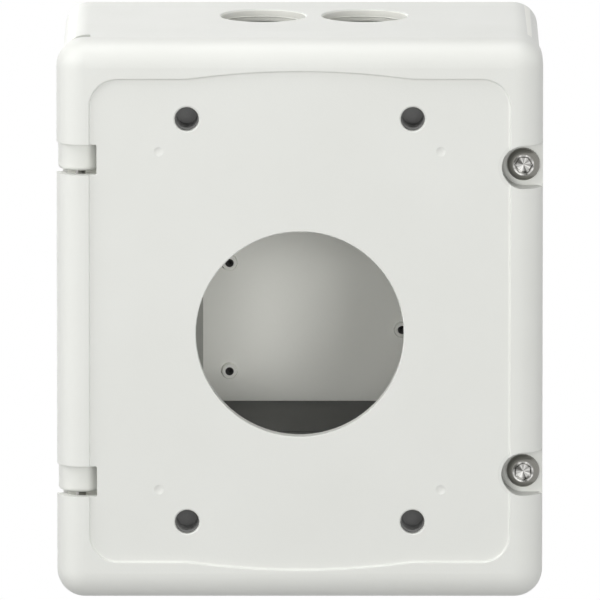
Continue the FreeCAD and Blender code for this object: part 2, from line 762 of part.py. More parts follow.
def earth_parts():
    seat = inner_back_y - earth_boss_height
    tip_y = inner_back_y - earth_length
    stud = rod_y(earth_x, earth_z, earth_radius, tip_y, inner_back_y + back_wall / 2)
    stud = stud.makeChamfer(earth_chamfer, edges_on(stud, lambda p: near(p.y, tip_y)))
    washer = rod_y(earth_x, earth_z, earth_washer_radius, seat - earth_washer_thickness, seat)
    bore = rod_y(earth_x, earth_z, earth_radius, seat - earth_length, seat + 1)
    nut = hexagon_block(earth_x, earth_z, earth_nut_flats, 0,
                        seat - earth_washer_thickness - earth_nut_height, seat - earth_washer_thickness)
    return {"earth_stud": stud, "earth_washer": washer.cut(bore), "earth_nut": nut.cut(bore)}


def all_parts():
    parts = {"rear_housing": rear_housing(), "housing_top": housing_top(), "seal_frame": seal_frame(),
             "partition": partition(), "front_door": front_door(), "door_gasket": door_gasket()}
    for end, height in hinge_heights.items():
        parts["hinge_pin_" + end] = hinge_pin(height)
    for end, height in screw_heights.items():
        socket_turn = 30 if end == "lower" else 0
        parts["captive_screw_" + end] = captive_screw(height, socket_turn)
        parts["retaining_ring_" + end] = retaining_ring(height)
        parts["screw_bush_" + end] = screw_bush(height)
    for place, (x, z) in bracket_places.items():
        parts["bracket_bush_" + place] = bracket_bush(x, z)
    parts["power_module"] = power_module()
    foot_y = module_back_y - module_foot_thickness
    foot_z = module_top - module_height / 2
    for name, side in (("left", -1), ("right", 1)):
        x = side * (module_width + module_foot_width) / 2
        parts["power_screw_" + name] = small_screw(x, foot_z, module_screw_radius, foot_y,
                                                   module_foot_thickness + small_engagement)
    parts["terminal_block"] = terminal_block()
    parts["terminal_clamps"] = terminal_clamps()
    ear_y = inner_back_y - module_foot_thickness
    for name, z in terminal_hole_heights.items():
        parts["terminal_screw_" + name] = small_screw(terminal_x, z, terminal_screw_radius, ear_y,
                                                      module_foot_thickness + small_engagement)
    parts.update(earth_parts())
    return parts


os.makedirs("parts", exist_ok=True)
for node, shape in all_parts().items():
    solids = len(shape.Solids)
    print(node, "valid" if shape.isValid() else "NOT VALID", solids, "solids", round(shape.Volume, 1))
    shape.exportStep("parts/" + node + ".step")
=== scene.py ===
"""Looks of the camera junction box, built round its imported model: paint, metal, rubber and plastic
finishes, threaded details, soft studio light and the camera. Lengths are in metres."""

import bpy
import math
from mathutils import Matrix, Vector


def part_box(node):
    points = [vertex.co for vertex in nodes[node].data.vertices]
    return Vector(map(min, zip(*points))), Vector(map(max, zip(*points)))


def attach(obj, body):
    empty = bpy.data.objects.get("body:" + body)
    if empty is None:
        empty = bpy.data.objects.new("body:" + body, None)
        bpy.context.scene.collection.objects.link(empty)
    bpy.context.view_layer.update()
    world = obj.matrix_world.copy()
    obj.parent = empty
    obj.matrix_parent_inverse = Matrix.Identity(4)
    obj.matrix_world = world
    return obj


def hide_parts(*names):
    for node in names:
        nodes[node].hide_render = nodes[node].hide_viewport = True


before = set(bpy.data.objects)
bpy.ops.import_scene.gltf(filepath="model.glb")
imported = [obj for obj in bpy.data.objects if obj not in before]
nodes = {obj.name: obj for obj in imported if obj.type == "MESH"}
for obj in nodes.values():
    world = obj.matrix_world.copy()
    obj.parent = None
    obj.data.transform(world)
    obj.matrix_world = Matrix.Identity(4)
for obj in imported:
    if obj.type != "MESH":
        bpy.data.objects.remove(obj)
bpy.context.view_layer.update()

# Places taken from the model
FRONT_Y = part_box("front_door")[0].y
HINGE_X = -0.0901
SCREWS = {"upper": (0.092, 0.064), "lower": (0.092, -0.064)}
SOCKET_TURN = {"upper": 30.0, "lower": 0.0}
POCKET_Y = FRONT_Y + 0.011
SHANK_GROOVE = (0.01355, 0.01485)
SHANK_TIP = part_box("captive_screw_upper")[1].y - POCKET_Y
CONDUITS = {"left": -0.0151, "right": 0.0269}
CONDUIT_Y = -0.038
CONDUIT_LOW = 0.1110
CONDUIT_REACH = 0.0177
BOARD_BOSS_Y = -0.0059
BOARD_HOLES = {
    "upper_left": (-0.0293, 0.0054), "lower_left": (-0.0293, -0.0404), "right": (0.0426, -0.0229)}
EARTH = (-0.0707, -0.0440)
MODULE_WIDTH = 0.100
FOOT_HOLE_X = 0.0555

# Bounds of the painted light on the housing's inner surfaces
# How far the housing's inner surfaces reach from its middle, and between which depths they lie
INNER_X = 0.0957
INNER_Z = 0.1137
INNER_DEPTHS = (0.0033, 0.0915)

# Slopes of the painted shade in the screw pockets: by distance from a screw's axis, to its left,
# and by depth behind the door's front
POCKET_REACH = 0.0105
POCKET_RING = (0.0064, 0.0090)
POCKET_LEFT = (-0.0005, -0.0055)
POCKET_DEPTH = (0.0008, 0.0045)

# Closing screw: its head from the front face to the seat, as pairs of depth and radius
HEAD = [
    (-0.0042, 0.0032), (-0.00419, 0.0036), (-0.00411, 0.0043), (-0.00393, 0.0050),
    (-0.00362, 0.0056), (-0.00322, 0.0061), (-0.00272, 0.00645), (-0.0021, 0.00665),
    (-0.0014, 0.00673), (-0.0004, 0.00675), (0.0, 0.0066)]
SHANK_RADIUS = 0.00325
GROOVE_RADIUS = 0.00275
HEAD_FRONT = -0.0042
SOCKET_WIDTH = 0.006
SOCKET_BEVEL_Y = -0.0041
DRILL_POINT_Y = -0.00166
SOCKET_REACH = 0.0043
THREAD_LENGTH = 0.0100

# Camera: a long lens far off, looking down a little
PITCH = 9.7
CAMERA_DISTANCE = 8.0
FIELD_WIDTH = 0.24666
AIM_X = 0.0001
AIM_RISE = 0.00884

# Soft light: strength of the sky below and above, and panels with direction, distance, size,
# power and whether glossy faces mirror them
SKY = (0.02, 0.15)
LAMPS = [
    ("key panel", (-0.62, -0.49, 0.61), 1.3, 1.2, 5.6, True),
    ("left panel", (-0.95, -0.22, 0.25), 1.5, 1.0, 9.0, False),
    ("front left panel", (-0.12, -1.0, 0.14), 2.0, 0.6, 10.2, False),
    ("front right panel", (0.34, -1.0, 0.05), 2.0, 0.6, 11.6, False),
    ("right panel", (1.0, -0.15, 0.20), 1.5, 1.0, 4.8, False),
    ("top panel", (0.0, -0.12, 1.0), 1.5, 1.0, 7.2, True),
    ("rear panel", (-0.4, 1.0, 0.4), 1.8, 1.0, 20.0, False),
]
LAMP_AIM = (0, -0.06, 0)
FLOOR_Z = -0.9
FLOOR_SIZE = 40
FLOOR_GREY = 0.35

# Colours, linear. The inside paint is painted light; the divider and pocket paints are painted shade
PAINT = (0.786, 0.793, 0.757, 1)
PAINT_SHADE = (0.762, 0.769, 0.731, 1)
PAINTED_LIGHT_INSIDE = (0.925, 0.927, 0.868, 1)
PAINTED_SHADE_DIVIDER = (0.37, 0.375, 0.35, 1)
PAINTED_SHADE_POCKET = (0.42, 0.423, 0.40, 1)
STEEL = (0.50, 0.49, 0.47, 1)
SCREW_STEEL = (0.275, 0.27, 0.245, 1)
# Dark and bright socket steels: painted shade and painted highlights in the socket's streaks
SOCKET_PAINTED_SHADE = (0.13, 0.128, 0.12, 1)
SOCKET_PAINTED_HIGHLIGHT = (0.92, 0.91, 0.88, 1)
DARK_STEEL = (0.13, 0.13, 0.125, 1)
BUSH_STEEL = (0.29, 0.29, 0.285, 1)
THREAD_STEEL = (0.30, 0.30, 0.295, 1)
BRASS = (0.74, 0.60, 0.32, 1)
SILICONE = (0.030, 0.030, 0.031, 1)
CASE = (0.046, 0.047, 0.044, 1)
NYLON = (0.045, 0.045, 0.045, 1)
WHITE = (1, 1, 1, 1)

# Radius of softened edges, height of the bumps, and width of a lathe's rings
CAST_EDGE, CAST_BUMP = 0.00035, 0.00008
METAL_EDGE, METAL_BUMP = 0.00012, 0.00003
SOCKET_EDGE, SOCKET_BUMP = 0.0001, 0.00005
MOULDED_EDGE, MOULDED_BUMP = 0.0004, 0.00006
RING_WIDTH = 0.00022
CLOUD_GRAIN = 700.0

# Sockets of a colour mix, which share their names with others
MIX_SHARE, MIX_FIRST, MIX_SECOND, MIX_RESULT = 0, 6, 7, 2

ALONG_Y = (math.pi / 2, 0, 0)
ALONG_Y_BACKWARDS = (-math.pi / 2, 0, 0)


def add_camera():
    """Long lens a little above the box, far enough off for the photograph's flat perspective."""
    pitch = math.radians(PITCH)
    up = Vector((0, math.sin(pitch), math.cos(pitch)))
    ahead = Vector((0, math.cos(pitch), -math.sin(pitch)))
    aim = Vector((AIM_X, FRONT_Y, 0)) + up * AIM_RISE
    lens = bpy.data.cameras.new("studio camera")
    lens.sensor_width = 36
    lens.lens = lens.sensor_width * CAMERA_DISTANCE / FIELD_WIDTH
    lens.clip_start = 0.1
    lens.clip_end = 100
    camera = bpy.data.objects.new("studio camera", lens)
    camera.location = aim - ahead * CAMERA_DISTANCE
    camera.rotation_mode = "QUATERNION"
    camera.rotation_quaternion = ahead.to_track_quat("-Z", "Y")
    bpy.context.scene.collection.objects.link(camera)
    bpy.context.scene.camera = camera


def feed(tree, socket, value):
    """Sets a socket to a plain value, or links another node's output to it."""
    if isinstance(value, bpy.types.NodeSocket):
        tree.links.new(value, socket)
    else:
        socket.default_value = value


def put(tree, kind, **settings):
    """A node with its settings; a key that names one of its sockets feeds that socket."""
    node = tree.nodes.new(kind)
    for key, value in settings.items():
        socket = node.inputs.get(key.replace("_", " "))
        if socket is None:
            setattr(node, key, value)
        else:
            feed(tree, socket, value)
    return node


def group(name, inputs, outputs):
    """An empty node group, with the outputs of its input node and the inputs of its output node."""
    tree = bpy.data.node_groups.new(name, "ShaderNodeTree")
    for label, value in inputs.items():
        kind = "NodeSocketVector" if isinstance(value, tuple) else "NodeSocketFloat"
        socket = tree.interface.new_socket(name=label, in_out="INPUT", socket_type=kind)
        socket.default_value = value
    for label in outputs:
        kind = "NodeSocketVector" if label == "Normal" else "NodeSocketFloat"
        tree.interface.new_socket(name=label, in_out="OUTPUT", socket_type=kind)
    return tree, tree.nodes.new("NodeGroupInput").outputs, tree.nodes.new("NodeGroupOutput").inputs


def placed(tree, made, **values):
    """Outputs of a made group that is placed in a material with its own values."""
    node = tree.nodes.new("ShaderNodeGroup")
    node.node_tree = made
    for key, value in values.items():
        node.inputs[key.replace("_", " ")].default_value = value
    return node.outputs


def math_node(tree, operation, *values):
    """Result of one sum on plain values or outputs."""
    node = put(tree, "ShaderNodeMath", operation=operation)
    for socket, value in zip(node.inputs, values):
        feed(tree, socket, value)
    return node.outputs[0]


def vector_node(tree, operation, *values):
    """Outputs of one sum on vectors."""
    node = put(tree, "ShaderNodeVectorMath", operation=operation)
    for socket, value in zip(node.inputs, values):
        feed(tree, socket, value)
    return node.outputs


def object_place(tree):
    return put(tree, "ShaderNodeTexCoord").outputs["Object"]


def parts_of(tree, vector):
    return put(tree, "ShaderNodeSeparateXYZ", Vector=vector).outputs


def ramp(tree, value, start, end, low=0.0, high=1.0):
    """The low value before the start, the high one after the end and a slope between them."""
    return put(tree, "ShaderNodeMapRange", Value=value, From_Min=start, From_Max=end,
               To_Min=low, To_Max=high).outputs["Result"]


def span(tree, value, low, high):
    """Middle half of a noise's range, stretched to a range of its own."""
    return ramp(tree, value, 0.25, 0.75, low, high)


def blend_colours(tree, first, second, share):
    mix = put(tree, "ShaderNodeMix", data_type="RGBA")
    for place, value in ((MIX_SHARE, share), (MIX_FIRST, first), (MIX_SECOND, second)):
        feed(tree, mix.inputs[place], value)
    return mix.outputs[MIX_RESULT]


def scaled(colour, factor):
    return tuple(min(1.0, factor * part) for part in colour[:3]) + (1,)


def across_axis(tree, centre):
    """Offset from an axis along Y through a centre, without its depth."""
    offset = vector_node(tree, "SUBTRACT", object_place(tree), centre)["Vector"]
    return vector_node(tree, "MULTIPLY", offset, (1, 0, 1))["Vector"]


def off_axes(tree, along, middle, half_gap, across, level):
    """Distance from the nearer of two parallel axes, which stand a gap apart along one
    coordinate."""
    first = math_node(tree, "ABSOLUTE", math_node(tree, "SUBTRACT", along, middle))
    first = math_node(tree, "SUBTRACT", first, half_gap)
    second = math_node(tree, "SUBTRACT", across, level)
    squares = [math_node(tree, "MULTIPLY", side, side) for side in (first, second)]
    return math_node(tree, "SQRT", math_node(tree, "ADD", *squares))


def orange_peel():
    """Fine waviness of sprayed powder, with a broad faint unevenness of its tone."""
    tree, given, result = group(
        "orange peel", {"Peel size": 0.0012, "Cloud size": 0.05}, ("Height", "Tone"))
    for label, size, detail, roughness in (("Height", "Peel size", 2.0, 0.45),
                                           ("Tone", "Cloud size", 3.0, 0.5)):
        spots = put(tree, "ShaderNodeTexNoise", Vector=object_place(tree), Detail=detail,
                    Roughness=roughness, Scale=math_node(tree, "DIVIDE", 1.0, given[size]))
        feed(tree, result[label], spots.outputs["Fac"])
    return tree


def soft_edges():
    """Normal that turns softly over every sharp edge."""
    tree, given, result = group("soft edges", {"Edge radius": MOULDED_EDGE}, ("Normal",))
    bevel = put(tree, "ShaderNodeBevel", samples=6, Radius=given["Edge radius"])
    feed(tree, result["Normal"], bevel.outputs["Normal"])
    return tree


def turning_marks():
    """Rings left by a lathe tool about an axis along Y through a centre."""
    tree, given, result = group("turning marks", {"Centre": (0, 0, 0)}, ("Height", "Tone"))
    radius = vector_node(tree, "LENGTH", across_axis(tree, given["Centre"]))["Value"]
    ring = put(tree, "ShaderNodeTexNoise", noise_dimensions="1D", Detail=2.0, Scale=1.0,
               W=math_node(tree, "DIVIDE", radius, RING_WIDTH)).outputs["Fac"]
    cloud = put(tree, "ShaderNodeTexNoise", Vector=object_place(tree), Detail=3.0,
                Scale=CLOUD_GRAIN).outputs["Fac"]
    feed(tree, result["Height"], ring)
    feed(tree, result["Tone"], math_node(tree, "MULTIPLY", ring, cloud))
    return tree


def drill_streaks_and_highlights():
    """Streaks that run out from an axis along Y through a centre, as a drill and a broach leave
    them; their tone also paints in the highlights and shade that such streaks catch."""
    tree, given, result = group("drill streaks with painted highlights", {"Centre": (0, 0, 0)}, ("Tone",))
    outward = vector_node(tree, "NORMALIZE", across_axis(tree, given["Centre"]))["Vector"]
    streak = put(tree, "ShaderNodeTexNoise", Vector=outward, Detail=2.0, Roughness=0.5, Scale=1.0)
    feed(tree, result["Tone"], streak.outputs["Fac"])
    return tree


def screw_pockets():
    """Mask of the painted shade on the walls of both screw pockets, on the side away from the
    door's edge.
    """
    tree, _, result = group("screw pockets", {}, ("Mask",))
    parts = parts_of(tree, object_place(tree))
    x, z = SCREWS["upper"]
    radius = off_axes(tree, parts["Z"], 0.0, z, parts["X"], x)
    mask = math_node(tree, "LESS_THAN", radius, POCKET_REACH)
    for value, origin, (start, end) in ((radius, 0.0, POCKET_RING), (parts["X"], x, POCKET_LEFT),
                                        (parts["Y"], FRONT_Y, POCKET_DEPTH)):
        slope = ramp(tree, value, origin + start, origin + end)
        mask = math_node(tree, "MULTIPLY", mask, slope)
    feed(tree, result["Mask"], mask)
    return tree


def inside_housing():
    """Mask of the painted light on the housing's inner surfaces, and on all that lies in line with
    its conduit entries: their bores, and also the outer bottom straight below them."""
    tree, _, result = group("inside of the housing", {}, ("Mask",))
    place = object_place(tree)
    reach = parts_of(tree, vector_node(tree, "ABSOLUTE", place)["Vector"])
    mask = math_node(tree, "GREATER_THAN", reach["Y"], INNER_DEPTHS[0])
    for axis, limit in (("X", INNER_X), ("Y", INNER_DEPTHS[1]), ("Z", INNER_Z)):
        within = math_node(tree, "LESS_THAN", reach[axis], limit)
        mask = math_node(tree, "MULTIPLY", mask, within)
    parts = parts_of(tree, place)
    middle = (CONDUITS["left"] + CONDUITS["right"]) / 2
    half_gap = (CONDUITS["right"] - CONDUITS["left"]) / 2
    radius = off_axes(tree, parts["X"], middle, half_gap, parts["Y"], CONDUIT_Y)
    bore = math_node(tree, "LESS_THAN", radius, CONDUIT_REACH)
    feed(tree, result["Mask"], math_node(tree, "MAXIMUM", mask, bore))
    return tree


PEEL = orange_peel()
SOFT = soft_edges()
MARKS = turning_marks()
STREAKS_AND_HIGHLIGHTS = drill_streaks_and_highlights()
INSIDE = inside_housing()
POCKETS = screw_pockets()


def finish_base(name):
    """A new material, its tree and its shader's inputs."""
    material = bpy.data.materials.new(name)
    material.use_nodes = True
    tree = material.node_tree
    return material, tree, tree.nodes["Principled BSDF"].inputs


def bumped(tree, shader, height, edge_radius, strength, distance):
    """Softens the edges and raises the surface by a height."""
    bump = put(tree, "ShaderNodeBump", Strength=strength, Distance=distance, Height=height,
               Normal=placed(tree, SOFT, Edge_radius=edge_radius)["Normal"])
    feed(tree, shader["Normal"], bump.outputs["Normal"])


def powder_coat(name, colour, shade, peel_size, strength, mask=None, colour_there=None):
    """Semi-gloss powder coat on cast metal, with a colour of painted light or shade where a mask
    says so.
    """
    material, tree, shader = finish_base(name)
    peel = placed(tree, PEEL, Peel_size=peel_size)
    tone = blend_colours(tree, colour, shade, span(tree, peel["Tone"], 0.0, 1.0))
    if mask is not None:
        tone = blend_colours(tree, tone, colour_there, placed(tree, mask)["Mask"])
    feed(tree, shader["Base Color"], tone)
    feed(tree, shader["Roughness"], span(tree, peel["Tone"], 0.36, 0.44))
    bumped(tree, shader, peel["Height"], CAST_EDGE, strength, CAST_BUMP)
    return material


def machined(name, colour, centre, roughness, metallic=1.0, groove=0.35):
    """Metal turned on a lathe about the Y axis through its centre."""
    material, tree, shader = finish_base(name)
    marks = placed(tree, MARKS, Centre=centre)
    tone = blend_colours(tree, scaled(colour, 0.72), colour, span(tree, marks["Height"], 0.0, 1.0))
    feed(tree, shader["Base Color"], tone)
    feed(tree, shader["Roughness"], span(tree, marks["Tone"], roughness, roughness + 0.12))
    shader["Metallic"].default_value = metallic
    bumped(tree, shader, marks["Height"], METAL_EDGE, groove, METAL_BUMP)
    return material


def broached_with_highlights(name, centre):
    """Steel inside a screw's socket, streaked from its middle outwards, with painted highlights and
    painted shade along the streaks.
    """
    material, tree, shader = finish_base(name)
    streak = placed(tree, STREAKS_AND_HIGHLIGHTS, Centre=centre)["Tone"]
    # Dark and bright steel by streak: painted shade and painted highlights
    tone = blend_colours(tree, SOCKET_PAINTED_SHADE, SOCKET_PAINTED_HIGHLIGHT, ramp(tree, streak, 0.42, 0.63))
    feed(tree, shader["Base Color"], tone)
    feed(tree, shader["Roughness"], span(tree, streak, 0.28, 0.18))
    shader["Metallic"].default_value = 1.0
    bumped(tree, shader, streak, SOCKET_EDGE, 0.4, SOCKET_BUMP)
    return material


def moulded(name, colour, grain, roughness):
    """Moulded plastic or rubber with a fine spark-eroded grain."""
    material, tree, shader = finish_base(name)
    peel = placed(tree, PEEL, Peel_size=grain, Cloud_size=0.02)
    tone = blend_colours(tree, colour, scaled(colour, 1.35), span(tree, peel["Tone"], 0.0, 1.0))
    feed(tree, shader["Base Color"], tone)
    feed(tree, shader["Roughness"],
         span(tree, peel["Height"], roughness - 0.08, roughness + 0.08))
    bumped(tree, shader, peel["Height"], MOULDED_EDGE, 0.6, MOULDED_BUMP)
    return material


def named(*starts):
    """Names of the model's nodes that begin in one of these ways."""
    return [name for name in nodes if name.startswith(starts)]


def middle_of(name):
    low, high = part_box(name)
    return (low + high) / 2


def dress(name, material):
    """Gives a node of the model its finish in every slot."""
    mesh = nodes[name].data
    if not mesh.materials:
        mesh.materials.append(material)
    for slot in range(len(mesh.materials)):
        mesh.materials[slot] = material


def dress_all():
    """Gives the model's nodes their finishes, and returns those that added pieces use too."""
    # Lighter coat inside the housing and in its conduit bores: painted light
    housing_paint = powder_coat("housing powder coat", PAINT, PAINT_SHADE, peel_size=0.0011,
                                strength=0.35, mask=INSIDE, colour_there=PAINTED_LIGHT_INSIDE)
    for name in ("rear_housing", "housing_top", "seal_frame"):
        dress(name, housing_paint)
    # Darker coat in the door's screw pockets: painted shade
    dress("front_door", powder_coat("door powder coat", PAINT, PAINT_SHADE, peel_size=0.0010,
                                    strength=0.30, mask=POCKETS, colour_there=PAINTED_SHADE_POCKET))
    # Darker coat on the divider: painted shade
    dress("partition", powder_coat("divider powder coat with painted shade", PAINTED_SHADE_DIVIDER,
                                   scaled(PAINTED_SHADE_DIVIDER, 0.93), peel_size=0.0009, strength=0.40))
    seal = moulded("silicone seal", SILICONE, grain=0.0004, roughness=0.62)
    module = moulded("module case", CASE, grain=0.0005, roughness=0.55)
    dress("door_gasket", seal)
    dress("power_module", module)
    dress("terminal_block", moulded("terminal nylon", NYLON, grain=0.0004, roughness=0.5))
    for end, (x, z) in SCREWS.items():
        steel = machined("stainless " + end, STEEL, (x, 0, z), roughness=0.28)
        dress("captive_screw_" + end, steel)
        dress("retaining_ring_" + end, steel)
        dress("screw_bush_" + end,
              machined("plated bush " + end, DARK_STEEL, (x, 0, z), roughness=0.4))
        dress("hinge_pin_" + end,
              machined("hinge pin steel " + end, STEEL, (HINGE_X, 0, 0), roughness=0.3))
    for name in named("bracket_bush"):
        middle = middle_of(name)
        dress(name, machined("plated " + name, BUSH_STEEL, (middle.x, 0, middle.z),
                             roughness=0.42, metallic=0.3))
    for name in named("power_screw", "terminal_screw"):
        middle = middle_of(name)
        dress(name, machined("stainless " + name, STEEL, (middle.x, 0, middle.z),
                             roughness=0.32))
    brass = machined("plated brass", BRASS, (EARTH[0], 0, EARTH[1]), roughness=0.3)
    for name in ("terminal_clamps", "earth_stud", "earth_washer", "earth_nut"):
        dress(name, brass)
    return {"housing": housing_paint, "seal": seal, "module": module,
            "steel": machined("module screw steel", STEEL, (0, 0, 0), roughness=0.35)}


def begin_edit():
    bpy.ops.object.mode_set(mode="EDIT")
    bpy.ops.mesh.select_all(action="SELECT")


def end_edit():
    """Leaves edit mode with doubles merged and every face turned outwards."""
    bpy.ops.mesh.select_all(action="SELECT")
    bpy.ops.mesh.remove_doubles(threshold=0.000001)
    bpy.ops.mesh.normals_make_consistent(inside=False)
    bpy.ops.object.mode_set(mode="OBJECT")


def only(piece):
    """Selects one object alone and makes it the active one."""
    bpy.ops.object.select_all(action="DESELECT")
    piece.select_set(True)
    bpy.context.view_layer.objects.active = piece


def set_down(piece):
    """Puts the piece's place, turn and size into its mesh."""
    only(piece)
    bpy.ops.object.transform_apply(location=True, rotation=True, scale=True)


def added(primitive, name, **settings):
    """Object that a primitive's operator adds, alone in the selection."""
    bpy.ops.object.select_all(action="DESELECT")
    primitive(**settings)
    piece = bpy.context.object
    piece.name = name
    return piece


def finish_piece(piece, material, body, angle=30.0):
    """Sets a piece down, smooths it, and gives it its finish and the body that carries it."""
    set_down(piece)
    bpy.ops.object.shade_smooth_by_angle(angle=math.radians(angle))
    piece.data.materials.clear()
    piece.data.materials.append(material)
    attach(piece, body)


def copied(piece, name):
    """Copy with a mesh of its own."""
    twin = piece.copy()
    twin.data = piece.data.copy()
    twin.name = name
    bpy.context.scene.collection.objects.link(twin)
    return twin


def joined(piece, others):
    """Joins other objects into the piece."""
    only(piece)
    for other in others:
        other.select_set(True)
    bpy.ops.object.join()


def pulled(distance):
    """Extrudes the selection along Y."""
    bpy.ops.mesh.extrude_region_move(TRANSFORM_OT_translate={"value": (0, distance, 0)})


def widened(across, upright, centre):
    """Scales the selection about a centre, its depth left as it is."""
    bpy.ops.transform.resize(value=(across, 1, upright), center_override=centre)


def turned_piece(name, rings, steps=96):
    """Round piece about the Y axis, grown ring by ring from pairs of depth and radius."""
    y, radius = rings[0]
    piece = added(bpy.ops.mesh.primitive_circle_add, name, vertices=steps, radius=radius,
                  fill_type="NGON", location=(0, y, 0), rotation=ALONG_Y)
    set_down(piece)
    begin_edit()
    for next_y, next_radius in rings[1:]:
        pulled(next_y - y)
        widened(next_radius / radius, next_radius / radius, (0, next_y, 0))
        y, radius = next_y, next_radius
    end_edit()
    return piece


def grown_block(name, width, height, middle, rings, corner):
    """Block with rounded corners, grown along Y ring by ring from pairs of depth and how far it
    is set in."""
    y, inset = rings[0]
    block = added(bpy.ops.mesh.primitive_plane_add, name, size=1.0,
                  location=(middle[0], y, middle[1]), rotation=ALONG_Y)
    block.scale = (width, height, 1)
    set_down(block)
    begin_edit()
    bpy.ops.mesh.bevel(offset=corner, segments=5, affect="VERTICES")
    bpy.ops.mesh.select_all(action="SELECT")
    for next_y, next_inset in rings[1:]:
        pulled(next_y - y)
        widened((width - 2 * next_inset) / (width - 2 * inset),
                (height - 2 * next_inset) / (height - 2 * inset), (middle[0], next_y, middle[1]))
        y, inset = next_y, next_inset
    end_edit()
    return block


def cut_away(piece, cutter):
    """Takes the cutter's shape out of the piece."""
    only(piece)
    cut = piece.modifiers.new("cut", "BOOLEAN")
    cut.operation = "DIFFERENCE"
    cut.solver = "EXACT"
    cut.object = cutter
    bpy.ops.object.modifier_apply(modifier=cut.name)
    bpy.data.objects.remove(cutter)


def helix(name, root, crest, pitch, turns, foot):
    """Ridge of a thread wound up the Z axis from height 0: a triangle that stands on its root
    radius with its foot and points to its crest radius."""
    steps = 64
    unit_height, unit_side = 1.5, math.sqrt(3)
    piece = added(bpy.ops.mesh.primitive_circle_add, name, vertices=3, radius=1.0,
                  fill_type="NOTHING", rotation=ALONG_Y)
    set_down(piece)
    begin_edit()
    point = max(piece.data.vertices, key=lambda vertex: abs(vertex.co.z)).co.z
    widened(foot / unit_side, (crest - root) / unit_height / point, (0, 0, 0))
    bpy.ops.object.mode_set(mode="OBJECT")
    piece.rotation_euler = (0, math.pi / 2, 0)
    piece.location = (root + (crest - root) / 3, 0, foot / 2)
    set_down(piece)
    sweep = piece.modifiers.new("sweep", "SCREW")
    sweep.axis = "Z"
    sweep.angle = 2 * math.pi
    sweep.screw_offset = pitch
    sweep.iterations = turns
    sweep.steps = steps
    sweep.render_steps = steps
    bpy.ops.object.modifier_apply(modifier=sweep.name)
    begin_edit()
    bpy.ops.mesh.fill_holes(sides=3)
    end_edit()
    return piece


def lay_ridge(ridge, start):
    """Turns a thread's ridge from the Z axis to the Y axis, from a start on it."""
    ridge.rotation_euler = ALONG_Y_BACKWARDS
    ridge.location = start


def socket_screw():
    """Domed hexagon socket screw about the Y axis, its head's seat at depth 0, with its thread."""
    step, tip_taper, tip_radius = 0.00005, 0.001, 0.00225
    low, high = SHANK_GROOVE
    shank = [(0.0001, SHANK_RADIUS), (low, SHANK_RADIUS), (low + step, GROOVE_RADIUS),
             (high - step, GROOVE_RADIUS), (high, SHANK_RADIUS),
             (SHANK_TIP - tip_taper, SHANK_RADIUS), (SHANK_TIP, tip_radius)]
    screw = turned_piece("socket_screw", HEAD + shank)
    cut_away(screw, added(bpy.ops.mesh.primitive_cylinder_add, "hexagon", vertices=6,
                          radius=SOCKET_WIDTH / math.sqrt(3), depth=0.0040,
                          location=(0, HEAD_FRONT, 0), rotation=ALONG_Y))
    cut_away(screw, added(bpy.ops.mesh.primitive_cone_add, "socket_bevel", vertices=6,
                          radius1=0.0046, radius2=0.0030, depth=0.0016,
                          location=(0, SOCKET_BEVEL_Y, 0), rotation=ALONG_Y_BACKWARDS))
    cut_away(screw, added(bpy.ops.mesh.primitive_cone_add, "drill_point", vertices=96,
                          radius1=0.0030, radius2=0.0, depth=0.0011,
                          location=(0, DRILL_POINT_Y, 0), rotation=ALONG_Y_BACKWARDS))
    ridge = helix("screw_ridge", root=0.0032, crest=0.00385, pitch=0.00125, turns=6, foot=0.0011)
    lay_ridge(ridge, (0, SHANK_TIP - THREAD_LENGTH, 0))
    set_down(ridge)
    joined(screw, [ridge])
    return screw


def add_screws():
    """Two captive screws, each turned a little differently in its pocket, with painted highlights
    in their sockets.
    """
    front, squarely = POCKET_Y - 0.0041, 0.999
    model = socket_screw()
    for end, (x, z) in SCREWS.items():
        screw = copied(model, "socket_screw_" + end)
        screw.rotation_euler = (0, math.radians(SOCKET_TURN[end]), 0)
        screw.location = (x, POCKET_Y, z)
        steel = machined("screw steel " + end, SCREW_STEEL, (x, 0, z), roughness=0.30,
                         metallic=0.65, groove=0.6)
        finish_piece(screw, steel, end + "_screw")
        # Socket faces get the streaked steel with painted highlights and painted shade
        screw.data.materials.append(broached_with_highlights("socket steel with painted highlights " + end, (x, 0, z)))
        for face in screw.data.polygons:
            out = math.hypot(face.center.x - x, face.center.z - z)
            on_front = face.normal.y < -squarely and face.center.y < front
            if out < SOCKET_REACH and face.center.y < POCKET_Y and not on_front:
                face.material_index = 1
        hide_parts("captive_screw_" + end)
    bpy.data.objects.remove(model)


def add_conduit_threads(paint):
    """First turn of the tapped thread in each conduit entry, painted over with the housing."""
    model = helix("conduit_ridge", root=0.01755, crest=0.0173, pitch=0.0011, turns=1, foot=0.0008)
    for side, x in CONDUITS.items():
        ridge = copied(model, "conduit_thread_" + side)
        ridge.location = (x, CONDUIT_Y, CONDUIT_LOW)
        finish_piece(ridge, paint, "housing")
    bpy.data.objects.remove(model)


def add_bush_threads():
    """Thread in each bracket bush, from a little behind its mouth."""
    entry = 0.0006
    model = helix("bush_ridge", root=0.00505, crest=0.0043, pitch=0.0015, turns=8, foot=0.0013)
    for name in named("bracket_bush"):
        middle = middle_of(name)
        ridge = copied(model, name.replace("bush", "thread"))
        lay_ridge(ridge, (middle.x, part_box(name)[0].y + entry, middle.z))
        steel = machined("thread of " + name, THREAD_STEEL, (middle.x, 0, middle.z),
                         roughness=0.42, metallic=0.3)
        finish_piece(ridge, steel, "door")
    bpy.data.objects.remove(model)


